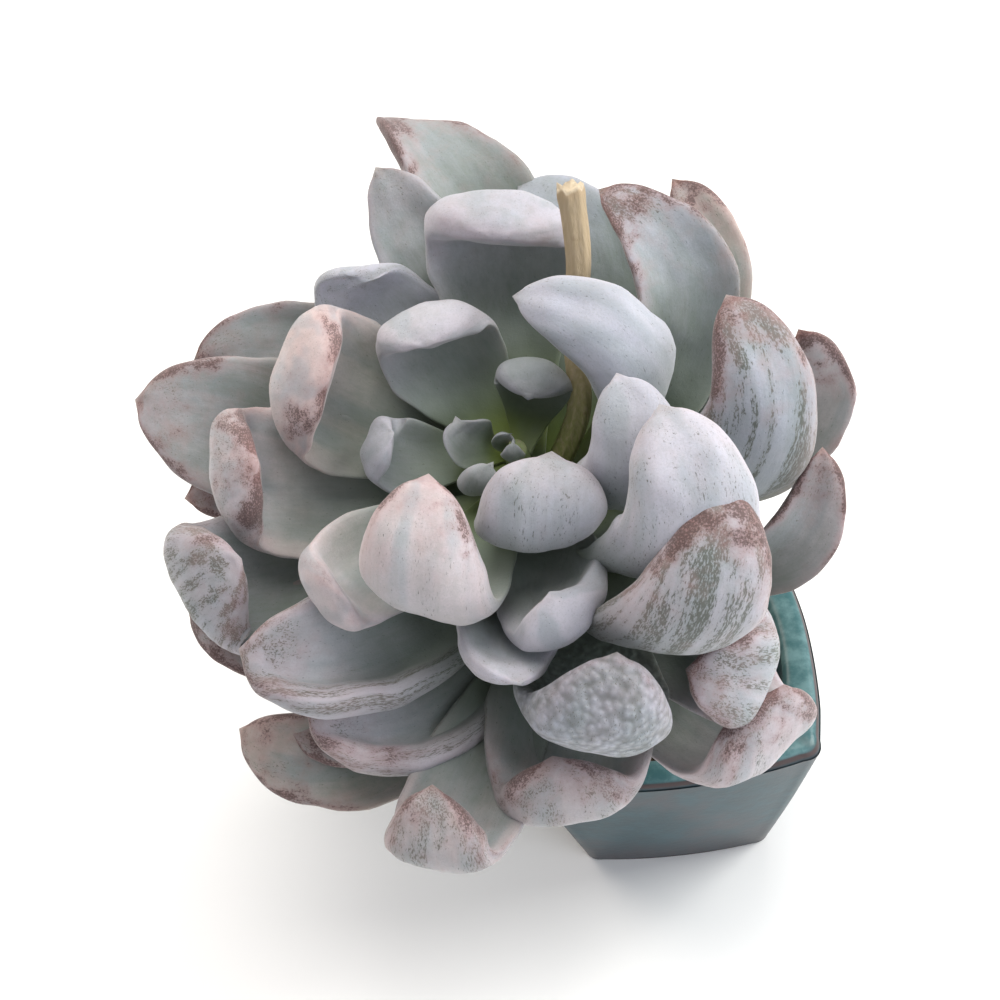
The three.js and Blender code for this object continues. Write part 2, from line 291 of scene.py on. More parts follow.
def squareRing(half, bulge, corner, z, perSide=36, perCorner=10):
    # one side is a straight run pushed out by a parabola, then a rounded corner; turned four times
    edge = half - corner
    t = np.linspace(0, 1, perSide, endpoint=False)[:, None]
    bend = np.linspace(0, 1, perCorner, endpoint=False)[:, None]
    a, b, c = np.array([-edge, -half]), np.array([0, -half - 2 * bulge]), np.array([edge, -half])
    side = (1 - t) ** 2 * a + 2 * (1 - t) * t * b + t * t * c
    d, e = np.array([half, -half]), np.array([half, -edge])
    turn = (1 - bend) ** 2 * c + 2 * (1 - bend) * bend * d + bend * bend * e
    quarter = np.concatenate([side, turn])
    whole = []
    for k in range(4):
        s, q = math.sin(k * math.pi / 2), math.cos(k * math.pi / 2)
        whole.append(quarter @ np.array([[q, s], [-s, q]]))
    flat = np.concatenate(whole)
    return np.concatenate([flat, np.full((len(flat), 1), z)], 1)


def smoothProfile(stops, count):
    # rows of numbers joined by a curve through all of them, sampled evenly by row
    stops = np.asarray(stops, float)
    at = np.linspace(0, len(stops) - 1, count)
    low = np.clip(at.astype(int), 0, len(stops) - 2)
    t = (at - low)[:, None]
    before, after = np.clip(low - 1, 0, None), np.clip(low + 2, None, len(stops) - 1)
    p, q, r, s = stops[before], stops[low], stops[low + 1], stops[after]
    return 0.5 * (2 * q + (r - p) * t + (2 * p - 5 * q + 4 * r - s) * t ** 2 + (3 * q - p - 3 * r + s) * t ** 3)


def makePot():
    p = pot
    rim, foot, lip = p["rimHalf"], p["footHalf"], p["lipInset"]
    top = p["height"]
    middle = 0.5 * (foot + rim) + 0.3
    stops = [  # half width, bulge, height
        (foot - 4.0, 0.9 * p["footBulge"], 0.0),
        (foot - 1.2, p["footBulge"], 0.0),
        (foot - 0.1, p["footBulge"], 1.0),
        (foot + 0.35, p["footBulge"], 3.0),
        (middle - 0.1, 0.5 * (p["footBulge"] + p["rimBulge"]), 0.5 * (top - 1.8)),
        (rim - 0.3, p["rimBulge"], top - 4.0),
        (rim, p["rimBulge"], top - 1.8),
        (rim - 0.5, p["rimBulge"], top),
        (rim - 1.6, p["rimBulge"], top + 0.8 * p["lipRise"]),
        (rim - 0.4 * lip, p["rimBulge"], top + p["lipRise"]),
        (rim - 0.8 * lip, p["rimBulge"], top + 0.6 * p["lipRise"]),
        (rim - 0.97 * lip, p["rimBulge"], top - 0.9),
        (rim - 1.02 * lip, 0.98 * p["rimBulge"], top - 4.0),
        (rim - 1.6 * lip, 0.8 * p["rimBulge"], 0.5 * top),
        (foot - p["wall"], p["footBulge"], p["floor"]),
    ]
    rows = smoothProfile(stops, 120)
    rows[:, 2] = np.clip(rows[:, 2], 0, None)
    rings = np.stack([squareRing(h, b, p["corner"], z) for h, b, z in rows])
    share = np.linspace(0, 1, len(rows))[:, None] * np.ones(rings.shape[1])
    outward = rings[..., :2] / np.linalg.norm(rings[..., :2], axis=-1, keepdims=True)
    lumps = 0.22 * wave(rings, 9.0, 4) * eased(1, 8, rings[..., 2]) * eased(0, 6, 70 - rings[..., 2])
    rings[..., :2] -= outward * np.abs(lumps)[..., None]
    edge = np.exp(-((share - 7.0 / 14) / 0.035) ** 2) + 0.4 * np.exp(-((share - 11.2 / 14) / 0.02) ** 2)
    edge += 0.9 * np.exp(-((share - 2.4 / 14) / 0.03) ** 2)
    quarterTurn = np.mod(np.arctan2(rings[..., 1], rings[..., 0]) + math.pi / 4, math.pi / 2)
    nearCorner = np.minimum(quarterTurn, math.pi / 2 - quarterTurn)
    edge = np.maximum(edge, 0.55 * np.exp(-(nearCorner / 0.07) ** 2) * eased(2, 10, rings[..., 2]))
    lipShare = eased(7.0 / 14, 7.8 / 14, share) * (1 - eased(11.4 / 14, 12.2 / 14, share))
    return closedSkin("glazedPot", rings, (0, 0, 0), (0, 0, p["floor"]),
                      {"edge": (edge, 0, 0), "lip": (lipShare, 0, 0)})


def potGlaze():
    f = Finish("tealGlaze", Roughness=0.32, Coat_Weight=0.08, Coat_Roughness=0.15, Specular_IOR_Level=0.3)
    place = f.place()
    edge, lip = f.value("edge"), f.value("lip")
    clouds = f.noise(place, 38, 5, 0.6)
    mottle = f.noise(place, 210, 6, 0.65)
    streams = f.noise(f.scaled(place, (260.0, 260.0, 30.0)), 1.0, 4)
    z = f.parts(place)[2]
    low = 1 - (z + clouds * 0.02 - 0.01).between(0.002, 0.024)
    underRim = (z + clouds * 0.016 - 0.008).between(0.052, 0.064) * (1 - lip)
    wallColour = f.blend(mottle.between(0.35, 0.7), (0.014, 0.046, 0.058, 1), (0.031, 0.083, 0.099, 1))
    wallColour = f.blend((clouds.between(0.5, 0.72) * 0.55).held(), wallColour, (0.085, 0.06, 0.066, 1))
    wallColour = f.blend((low * (0.35 + streams * 0.6)).held(), wallColour, (0.05, 0.034, 0.038, 1))
    wallColour = f.blend((underRim * (0.1 + streams * 0.7)).held(), wallColour, (0.055, 0.04, 0.045, 1))
    lipColour = f.blend(mottle.between(0.35, 0.68), (0.05, 0.13, 0.14, 1), (0.125, 0.235, 0.245, 1))
    colour = f.blend(lip, wallColour, lipColour)
    worn = (edge * (0.55 + mottle * 0.8)).between(0.35, 0.85)
    colour = f.blend(worn, colour, (0.075, 0.055, 0.055, 1))
    f.feed("Base Color", colour)
    f.feed("Roughness", 0.26 + mottle * 0.16 + worn * 0.2)
    pits = f.noise(place, 620, 3)
    f.relief(mottle * 0.5 + pits * 0.35, 0.18, 0.0006)
    return f.material


dress(makePot(), "pot_glaze", potGlaze(), "pot")
print("pot done")

# the stem: it leans out of the soil and turns up under the head

stem = {
    "heart": (-27.7, 7.6, 136.0),
    "headAxis": (-0.1, -0.22, 0.97),
    "foot": (-4.0, 3.0, 39.0),
    "firstPull": (-5.0, 2.0, 36.0),
    "lowRadius": 5.2,
    "topRadius": 3.2,
}
heart = np.array(stem["heart"])
headAxis = unit(np.array(stem["headAxis"]))
stemFoot = np.array(stem["foot"])
stemLine, stemLength = bezier(
    [stemFoot, stemFoot + stem["firstPull"], heart - 33 * headAxis, heart - 1 * headAxis], 400)


def stemPoint(below):
    # the point of the stem's centre line at a distance below the heart
    at = 1 - below / stemLength
    return np.array([np.interp(at, np.linspace(0, 1, len(stemLine)), stemLine[:, k]) for k in range(3)])


def sweep(line, radius, around):
    # rings of a round section carried along a line without twist; radius may vary by ring and angle
    run = unit(np.gradient(line, axis=0))
    side = unit(np.cross(run, np.array([0.31, 0.9, 0.05])))
    other = np.cross(run, side)
    angle = np.linspace(0, 2 * math.pi, around, endpoint=False)
    out = np.cos(angle)[None, :, None] * side[:, None] - np.sin(angle)[None, :, None] * other[:, None]
    return line[:, None] + out * np.asarray(radius)[..., None], angle


def makeStem():
    line, _ = resampled(stemLine, 150)
    taper = np.linspace(stem["lowRadius"], stem["topRadius"], len(line))[:, None]
    angle = np.linspace(0, 2 * math.pi, 48, endpoint=False)[None, :]
    along = np.linspace(0, stemLength, len(line))[:, None]
    # leaf scars: crescents set by the golden angle up the stem, each a shallow dent under a small ridge
    scars = np.zeros((len(line), 48))
    for k in range(26):
        far = np.angle(np.exp(1j * (angle - k * 2.39996))) * taper
        up = along - (14 + 2.6 * k)
        scars += 0.35 * np.exp(-(far / 2.4) ** 2 - ((up - 0.12 * far ** 2) / 0.55) ** 2)
        scars -= 0.3 * np.exp(-(far / 2.2) ** 2 - ((up + 1.1) / 0.9) ** 2)
    rings, _ = sweep(line, (taper + scars - 0.35).clip(1), 48)
    return closedSkin("leaningStem", rings, line[0], line[-1], {"scar": (scars, 0, 0)})


def stemBark():
    f = Finish("greyGreenStem", Roughness=0.75)
    place = f.place()
    z = f.parts(place)[2]
    grain = f.noise(f.scaled(place, (900.0, 900.0, 160.0)), 1.0, 5)
    spots = f.noise(place, 420, 4)
    high = z.between(0.06, 0.115)
    colour = f.blend(high, (0.17, 0.125, 0.08, 1), (0.25, 0.30, 0.14, 1))
    colour = f.blend(grain.between(0.45, 0.75) * 0.6, colour, (0.36, 0.31, 0.22, 1))
    colour = f.blend((f.value("scar") * 2.2).held(), colour, (0.42, 0.37, 0.27, 1))
    f.feed("Base Color", colour)
    f.feed("Roughness", 0.65 + spots * 0.25)
    f.relief(grain * 0.6 + spots * 0.4, 0.5, 0.0008)
    return f.material


dress(makeStem(), "stem", stemBark(), "stem")
print("stem done")

# the head: every leaf is placed where it is seen, at a height along the head's axis


def headPoint(place):
    # millimetres right and up of the heart as seen, and height along the head's axis
    right, up, height = place
    sight = heart + right * viewRight + up * viewUp - eye
    reach = (heart - eye) @ headAxis + height
    return eye + sight * reach / (sight @ headAxis)


def rounded(x, power):
    return np.sign(x) * np.abs(x) ** power


leafForm = {
    "rings": 60, "around": 64, "mucro": 1.2, "thick": 0.26, "cup": 0.3, "hollow": 0.55, "curlStart": 0.3,
    "ridge": 0.25, "ridges": 5,
}

# how light each layer is: younger leaves carry more powder, the heart least
layerTone = {"heart": 0.95, "inner": 1.05, "middle": 1.1, "outer": 1.0, "lower": 1.0}


def leafShape(leaf, seed, layer):
    # The midrib is a cubic Bezier that leaves the stem flatter than its chord, passes the crest and ends at
    # the tip. Across it the section is a rounded band, cupped upwards, whose half width grows with a smooth
    # step and closes as the root of 1 - s^n, and whose depth swells by a bell curve where the leaf hooks over.
    width, blunt, curl = leaf["width"], leaf.get("blunt", 4.5), leaf.get("curl", 0)
    neck, widest, puff = leaf.get("neck", 0.27), leaf.get("widest", 0.66), leaf.get("puff", 0.35)
    crest, tip = headPoint(leaf["crest"]), headPoint(leaf["tip"])
    seat = stemPoint(leaf["seat"])
    outward = crest - seat
    outward = unit(outward - outward @ headAxis * headAxis)
    foot = seat + leaf.get("sunk", 3.5) * outward
    chord = crest - foot
    rise = chord @ headAxis
    lead = chord - 0.5 * rise * headAxis
    long, hook = np.linalg.norm(chord), np.linalg.norm(tip - crest)
    t = np.clip(long / (long + hook), 0.5, 0.82)
    first = foot + 0.5 * lead
    second = (crest - (1 - t) ** 3 * foot - 3 * (1 - t) ** 2 * t * first - t ** 3 * tip) / (3 * (1 - t) * t * t)
    line, length = bezier([foot, first, second, tip], 400)
    slope = unit(np.gradient(line, axis=0))

    even = np.arange(leafForm["rings"]) / leafForm["rings"]
    s = 0.35 * even + 0.65 * np.sin(even * math.pi / 2)
    centre, _ = resampled(line, s)
    run = unit(np.stack([np.interp(s, np.linspace(0, 1, 400), slope[:, k]) for k in range(3)], -1))
    face = unit(headAxis - headAxis @ slope[0] * slope[0])
    seatCross = np.cross(slope[0], face)
    angle = math.radians(leaf["cross"])
    crestCross = math.cos(angle) * viewRight + math.sin(angle) * viewUp
    crestCross = -crestCross if crestCross @ seatCross < 0 else crestCross
    turned = eased(0.08, 0.62, s)[:, None]
    across = (1 - turned) * seatCross + turned * crestCross
    across = unit(across - dot(across, run) * run)
    up = np.cross(across, run)

    spread = neck + (1 - neck) * eased(0, widest, s) ** 0.9
    half = 0.5 * width * spread * np.sqrt(1 - s ** blunt)
    swell = puff * np.exp(-((s - 0.82) / 0.16) ** 2)
    depth = width * leafForm["thick"] * (0.42 + 0.58 * eased(0.1, 0.6, s) + swell) * np.sqrt(1 - s ** (blunt + 2))
    cupped = leafForm["cup"] * half * (0.5 + 0.5 * eased(0, 0.4, s)) * (1 - 0.8 * eased(0.6, 0.95, s))
    turn = -2 * math.pi * np.arange(leafForm["around"]) / leafForm["around"]
    x, y = rounded(np.cos(turn), 0.88)[None], rounded(np.sin(turn), 0.66)[None]
    hollow = leafForm["hollow"] * (eased(0.25, 0.55, s) * (1 - eased(0.82, 0.97, s)))[:, None]
    above = 0.42 * (1 - hollow * (1 - x * x))
    through = depth[:, None] * y * np.where(y > 0, above, 0.58)
    # a curled side turns up along an arc from 0.3 of the half width outwards
    flat, side = leafForm["curlStart"], np.sign(curl) or 1
    bend = np.maximum(abs(curl) * eased(0.2, 0.6, s) * (1 - eased(0.9, 1, s)), 1e-3)[:, None]
    past = ((x * side - flat) / (1 - flat)).clip(0, 1)
    arc = bend * past
    reach = np.where(past > 0, flat + (1 - flat) * np.sin(arc) / bend, x * side)
    curled = half[:, None] * (1 - flat) * (1 - np.cos(arc)) / bend
    rim = np.where((past > 0) & (curl != 0), flat, np.abs(x))
    lift = cupped[:, None] * (rim ** 2.2 - 0.35) + curled + through * np.cos(arc)
    sideways = side * (half[:, None] * reach - through * np.sin(arc))
    rings = centre[:, None] + sideways[..., None] * across[:, None] + lift[..., None] * up[:, None]
    outwards = x[..., None] * across[:, None] + y[..., None] * up[:, None]
    ridges = leafForm["ridge"] * np.cos(leafForm["ridges"] * x + seed) * eased(0.2, 0.6, s)[:, None]
    lumps = 0.45 * wave(rings, 7.5, seed) + 0.42 * wave(rings, 2.6, seed + 50) + 0.2 * wave(rings, 1.2, seed + 90)
    lumps = lumps + ridges - 0.4
    swollen = lumps * (eased(0.1, 0.4, s) * half / (half + 3))[:, None]
    rings = rings + unit(outwards + 1e-9) * swollen[..., None]

    point = tip + run[-1] * leafForm["mucro"]
    ones = np.ones_like(lift)
    own = np.stack([sideways, s[:, None] * length * ones, y * depth[:, None] * ones], -1) * millimetre
    own[..., 2] += seed * 0.037
    share = np.stack([s[:, None] * ones, np.abs(x) * ones, y * ones], -1)
    look = np.array([leaf["pink"], leaf["streak"], leaf["warm"]])
    tone = layerTone[layer] * np.random.default_rng(seed).uniform(0.93, 1.07)
    values = {
        "ownPlace": (own, own[0].mean(0), own[-1].mean(0)),
        "share": (share, np.zeros(3), np.array([1.0, 0.3, 0.0])),
        "look": (ones[..., None] * look, look, look),
        "bloom": (ones * leaf["bloom"], leaf["bloom"], leaf["bloom"]),
        "tone": (ones * tone, tone, tone),
    }
    return rings, foot, point, values


leafTable = {
    "inner": [
        dict(seat=5, crest=(-29, 0, 4), tip=(-27, 3, 10), width=18, cross=80, blunt=6, puff=0.6,
             pink=0.1, streak=0.1, warm=0.2, bloom=0.75),
        dict(seat=6, crest=(6.3, -17, 13), tip=(8.5, -2, 24), width=27, cross=10, blunt=9,
             pink=0.3, streak=0.3, warm=0.2, bloom=0.8),
        dict(seat=10, crest=(26, -7, 14), tip=(23.5, 15.5, 30), width=24, cross=-2, blunt=5,
             pink=0.1, streak=0.25, warm=0.2, bloom=1),
        dict(seat=8, crest=(-19.5, -31, 16), tip=(-19, -7, 31), width=30, cross=-20,
             pink=0.7, streak=0.25, warm=0.6, bloom=0.9),
        dict(seat=9, crest=(-18, 24.5, 12), tip=(-19.5, 23, 21), width=29, cross=15, blunt=7, puff=0.6,
             pink=0.15, streak=0.15, warm=0.3, bloom=0.9),
        dict(seat=9, crest=(10, -36.3, 7), tip=(8.5, -32.8, 14), width=27, cross=38, blunt=6, puff=0.6,
             pink=0.1, streak=0.1, warm=0.3, bloom=1),
    ],
    "middle": [
        dict(seat=11, crest=(-43.5, 14.5, 10), tip=(-41, 16, 24), width=38, cross=77, blunt=7, puff=0.5,
             pink=0.65, streak=0.2, warm=0.8, bloom=1),
        dict(seat=12, crest=(-39, -31.5, 6), tip=(-37, -34, 15), width=26, cross=-52, blunt=6, puff=0.5,
             pink=0.35, streak=0.1, warm=0.6, bloom=1),
        dict(seat=16, crest=(-1, -47, 0), tip=(1, -52, 5), width=26, cross=-10,
             pink=0.2, streak=0.3, warm=0.2, bloom=0.8),
        dict(seat=15, crest=(38, -22, 12), tip=(33, 8.5, 34), width=32, cross=-6,
             pink=0.25, streak=0.3, warm=0.25, bloom=1),
        dict(seat=26, crest=(28.5, 9, 6), tip=(1, 33.5, 30), width=23, cross=57,
             pink=0.1, streak=0.15, warm=0.15, bloom=1),
        dict(seat=13, crest=(-3.5, 48.5, 20), tip=(-4.5, 47, 29), width=38, cross=-4, blunt=8, puff=0.6,
             widest=0.8, neck=0.22,
             pink=0.3, streak=0.15, warm=0.2, bloom=0.9),
        dict(seat=17, crest=(-60.2, -5.5, 5), tip=(-57, -3.5, 15), width=38, cross=100, blunt=6, puff=0.5,
             pink=0.7, streak=0.5, warm=0.6, bloom=1),
        dict(seat=18, crest=(-35.5, 35.5, 10), tip=(-37.5, 38.5, 16), width=32, cross=5, blunt=7, puff=0.5,
             pink=0.1, streak=0.4, warm=0.1, bloom=0.9),
    ],
    "outer": [
        dict(seat=26, crest=(36, -38.8, 2), tip=(48.5, -9.8, 26), width=35.5, cross=0, blunt=3,
             pink=1, streak=0.9, warm=0.3, bloom=0.85),
        dict(seat=27, crest=(-34.5, -44.8, -9), tip=(-59.8, -45, 2), width=36, cross=113, curl=-2.1, blunt=4,
             pink=0.5, streak=0.75, warm=0.3, bloom=0.9),
        dict(seat=21, crest=(-64.5, 5.5, 0), tip=(-83, 10.5, 6), width=41, cross=84,
             pink=0.8, streak=0.4, warm=0.3, bloom=0.6),
        dict(seat=22, crest=(51.8, -2, 8), tip=(48, 33, 30), width=29, cross=-8, blunt=3.3,
             pink=0.9, streak=0.95, warm=0.1, bloom=0.8),
        dict(seat=22, crest=(38, 27, 12), tip=(20, 57, 30), width=28, cross=27, blunt=2.8,
             pink=0.85, streak=0.9, warm=0.1, bloom=0.85),
        dict(seat=24, crest=(-22, 48, 11), tip=(-30, 61.5, 21), width=28, cross=5,
             pink=0.3, streak=0.3, warm=0.2, bloom=0.6),
        dict(seat=26, crest=(20, -60, -8), tip=(23, -46.5, 8), width=36, cross=-5,
             pink=0.35, streak=0.3, warm=0.1, bloom=0.8),
        dict(seat=26, crest=(-68, -30, -6), tip=(-61, -25, 5), width=40, cross=-60,
             pink=0.45, streak=0.9, warm=0.2, bloom=0.8),
        dict(seat=29, crest=(15.5, 42.5, 2), tip=(2, 58, 10), width=31, cross=18,
             pink=0.1, streak=0.3, warm=0.0, bloom=0.6),
    ],
    "lower": [
        dict(seat=30, crest=(-7, 53.5, 8), tip=(-29.5, 73, 16), width=32, cross=-14, blunt=3.6,
             pink=0.8, streak=0.5, warm=0.3, bloom=0.6),
        dict(seat=28, crest=(-50, 24, -3), tip=(-70, 20, 1), width=25, cross=68, blunt=3.4,
             pink=0.6, streak=0.4, warm=0.3, bloom=0.6),
        dict(seat=38, crest=(-27, -58.5, -22), tip=(-45, -58, -12), width=36, cross=120, curl=-1.7,
             pink=0.6, streak=0.6, warm=0.4, bloom=0.9),
        dict(seat=30, crest=(43, 43, -4), tip=(36, 59, 6), width=25, cross=40, blunt=4,
             pink=0.9, streak=0.5, warm=0.9, bloom=0.5),
        dict(seat=32, crest=(50, -51, -14), tip=(39.5, -49.5, -6), width=32, cross=66,
             pink=0.7, streak=0.7, warm=0.3, bloom=0.9),
        dict(seat=32, crest=(59.5, -24, -14), tip=(68.8, -1, 4), width=19, cross=-25,
             pink=1, streak=0.4, warm=0.5, bloom=0.8),
        dict(seat=32, crest=(67.5, 11.5, -8), tip=(64, 25.5, 6), width=22, cross=-10,
             pink=1, streak=0.4, warm=0.6, bloom=0.8),
        dict(seat=30, crest=(-58, -9, -14), tip=(-72, -11, -12), width=24, cross=80,
             pink=0.8, streak=0.5, warm=0.5, bloom=0.6),
        dict(seat=34, crest=(-59, -41, -25), tip=(-71.5, -36, -21), width=28, cross=-50,
             pink=1, streak=0.5, warm=0.6, bloom=0.7),
        dict(seat=32, crest=(-37, -63, -26), tip=(-48.5, -63, -22), width=24, cross=105,
             pink=0.8, streak=0.5, warm=0.8, bloom=0.6),
        dict(seat=36, crest=(-41, -69, -28), tip=(-60, -63, -24), width=29, cross=105,
             pink=0.9, streak=0.5, warm=1, bloom=0.5),
        dict(seat=40, crest=(-17.5, -87.5, -20), tip=(-18, -76, -11), width=34, cross=-10, widest=0.85,
             neck=0.18,
             pink=0.6, streak=0.65, warm=0.6, bloom=0.8),
        dict(seat=40, crest=(10.8, -76.3, -28), tip=(9, -69.5, -19), width=41, cross=4,
             pink=0.6, streak=0.55, warm=0.5, bloom=0.8),
        dict(seat=38, crest=(54.5, -63, -32), tip=(60, -53.5, -20), width=38, cross=33,
             pink=0.8, streak=0.5, warm=0.5, bloom=1),
        dict(seat=34, crest=(-6, 48, -2), tip=(-14, 60, 6), width=32, cross=10,
             pink=0.5, streak=0.5, warm=0.3, bloom=0.6),
        dict(seat=36, crest=(22, 42, -6), tip=(24, 50, 0), width=30, cross=0,
             pink=0.5, streak=0.5, warm=0.3, bloom=0.6),
        dict(seat=36, crest=(-36, 28, -10), tip=(-43, 33, -4), width=30, cross=40,
             pink=0.6, streak=0.5, warm=0.4, bloom=0.6),
        dict(seat=38, crest=(48, 18, -14), tip=(55, 22, -8), width=28, cross=110,
             pink=0.7, streak=0.5, warm=0.5, bloom=0.7),
        dict(seat=42, crest=(46, -12, -30), tip=(54, -14, -26), width=26, cross=90,
             pink=0.7, streak=0.6, warm=0.5, bloom=0.6),
        dict(seat=42, crest=(-46, -8, -30), tip=(-58, -8, -28), width=30, cross=90,
             pink=0.7, streak=0.6, warm=0.6, bloom=0.6),
    ],
    "heart": [
        dict(seat=0, crest=(0, -2, 3), tip=(0, 1, 8), width=6, cross=0, sunk=0,
             pink=0.0, streak=0.0, warm=0.2, bloom=0.5),
        dict(seat=0.5, crest=(-2, 1, 2), tip=(-1, 3, 6), width=6, cross=0, sunk=1,
             pink=0.0, streak=0.0, warm=0.2, bloom=0.5),
        dict(seat=2, crest=(-9.5, 1.5, 4), tip=(-12.5, 6, 8), width=14, cross=60, sunk=2,
             pink=0.1, streak=0.05, warm=0.2, bloom=0.55),
        dict(seat=3, crest=(-7, -8, 6), tip=(-5, -4, 10), width=12, cross=0, sunk=2,
             pink=0.1, streak=0.1, warm=0.2, bloom=0.5),
        dict(seat=4, crest=(5, 15, 5), tip=(3.5, 11.5, 11), width=19, cross=-8, sunk=2, blunt=6,
             pink=0.05, streak=0.05, warm=0.2, bloom=0.6),
    ],
}

def leafSkin(name, pebbly=0.0):
    f = Finish(name, Roughness=0.62, Subsurface_Weight=0.12, Subsurface_Scale=0.004, Sheen_Weight=0.25,
               Sheen_Roughness=0.5, Specular_IOR_Level=0.35)
    f.shader.inputs["Subsurface Radius"].default_value = (1.0, 0.75, 0.55)
    place, own = f.place(), f.vector("ownPlace")
    s, side, face = f.parts(f.vector("share"))
    pink, streak, warm = f.parts(f.vector("look"))
    bloom = f.value("bloom")

    drift = f.noise(place, 55, 3)
    bands = f.noise(f.scaled(own, (330.0, 34.0, 330.0)), 1.0, 3, 0.55)
    veils = f.noise(f.scaled(own, (130.0, 16.0, 130.0)), 1.0, 2)
    dashes = f.noise(f.scaled(own, (2900.0, 900.0, 2900.0)), 1.0, 3, 0.65)
    fibres = f.noise(f.scaled(own, (1100.0, 150.0, 1100.0)), 1.0, 3, 0.6)
    dimples = f.noise(place, 300, 4, 0.6)
    grain = f.noise(place, 2300, 3, 0.7)
    flecks = f.noise(own, 2100, 3, 0.65)
    blots = f.noise(own, 170, 4, 0.6)

    # olive flesh, yellow green at the seat, under a powdery bloom that thickens toward the hood and the rim; the
    # lighter rim is partly powder, partly a painted highlight
    flesh = f.blend(s.between(0.05, 0.38), (0.15, 0.20, 0.03, 1), (0.07, 0.10, 0.038, 1))
    flesh = f.blend((s - (1 - bloom) * 0.3).between(0.12, 0.5), flesh, (0.155, 0.19, 0.155, 1))
    flesh = f.blend((drift.between(0.35, 0.7) * 0.5).held(), flesh, (0.20, 0.235, 0.21, 1))
    powder = f.blend(warm, (0.385, 0.415, 0.50, 1), (0.57, 0.455, 0.425, 1))
    powder = f.blend((drift.between(0.4, 0.75) * 0.5).held(), powder, (0.475, 0.475, 0.525, 1))
    powder = f.blend((veils.between(0.44, 0.62) * 0.65).held(), powder, (0.30, 0.335, 0.37, 1))
    hood = (s - (1 - bloom) * 0.22).between(0.30, 0.76)
    # the concave inner face keeps less powder and shows the darker flesh: partly its own colour, partly painted
    # shade in the cup
    inner = face.between(-0.4, 0.7) * (1 - s.between(0.58, 0.97))
    # a lighter band along the rim of the hood: partly powder, partly a painted highlight
    rimPowderAndHighlight = side.between(0.62, 1.0) * hood
    cover = (bloom * hood * (1 - inner * 0.6) + rimPowderAndHighlight * 0.22 + (fibres - 0.5) * 0.5 * hood
             + (dimples - 0.5) * 0.5 * hood).held()
    colour = f.blend(cover, flesh, powder)

    # grains of powder rubbed thin
    colour = f.blend((grain + (fibres - 0.5) * 0.6).between(0.50, 0.66) * hood * 0.16, colour, (0.16, 0.18, 0.17, 1))

    # fine dark olive dashes gathered in lengthwise bands, on the back and over the hood
    backs = 1 - face.between(0.2, 0.8) * (1 - s.between(0.8, 0.95)) * 0.9
    density = (bands * 0.7 + veils * 0.3).between(0.40, 0.58) * streak * backs * s.between(0.26, 0.5)
    colour = f.blend((density * 0.34).held(), colour, (0.15, 0.165, 0.13, 1))
    marked = (dashes + density * 0.28).between(0.64, 0.77)
    colour = f.blend(marked * 0.78, colour, (0.07, 0.076, 0.056, 1))

    # dusky pink at the tip and along the margin of the hood, its core broken into fine dark flecks
    rim = side.between(0.60, 0.98) * s.between(0.45, 0.8)
    blush = (s.between(0.76, 1.0) * 0.75 + rim * 0.6 + (blots - 0.5) * 2.4 * s.between(0.55, 0.85)) * pink
    colour = f.blend((blush * 0.55).held(), colour, (0.40, 0.235, 0.225, 1))
    core = (blush + (drift - 0.5) * 1.2).between(0.36, 1.0)
    colour = f.blend(core * 0.55, colour, (0.20, 0.105, 0.10, 1))
    specks = (flecks + core * 0.24).between(0.61, 0.75)
    colour = f.blend(specks * (core * 1.6).held() * 0.8, colour, (0.085, 0.052, 0.048, 1))
    tipSpot = (s.between(0.975, 1.0) * pink * 0.4).held()
    colour = f.blend(tipSpot, colour, (0.20, 0.08, 0.07, 1))
    height = drift * 0.3 + dimples * 0.35 + grain * 0.09 + bands * 0.2
    if pebbly:
        beads = f.node("ShaderNodeTexVoronoi", {"feature": "SMOOTH_F1"}, Vector=place, Scale=700)
        # darker where the beads meet: painted shade in the gaps, which leaves the bead tops light as a painted
        # highlight
        colour = f.blend(beads.between(0.2, 0.8) * 0.6, colour, (0.085, 0.09, 0.08, 1))
        height = height - beads * pebbly
    f.feed("Base Color", f.scaled(colour, f.value("tone")))
    f.feed("Roughness", 0.55 + grain * 0.12 + marked * 0.08)
    f.relief(height, 0.45, 0.0011)
    return f.material


slotOf = {"heart": "young_leaf", "inner": "inner_leaf", "middle": "middle_leaf",
          "outer": "outer_leaf", "lower": "old_leaf"}


def makeLeaves():
    plain = leafSkin("frostedLeaf")
    beaded = leafSkin("beadedLeaf", 1.4)
    seed = 1
    for layer, rows in leafTable.items():
        for number, leaf in enumerate(rows, 1):
            rings, foot, point, values = leafShape(leaf, seed, layer)
            seed += 1
            piece = closedSkin(f"{layer}Leaf{number}", rings, foot, point, values)
            node = "heart_leaves" if layer == "heart" else f"{layer}_leaf_{number}"
            dress(piece, slotOf[layer], beaded if node == "outer_leaf_7" else plain, node)
    print("leaves done:", seed - 1)


makeLeaves()

# the cut flower stalk: straw coloured, faintly ribbed, split open at its dry end

stalk = {"radius": 2.9, "ribs": 7, "path": [(14.5, 8, -2), (13.5, 26, 12), (14.5, 42, 25), (12.5, 59, 40)]}


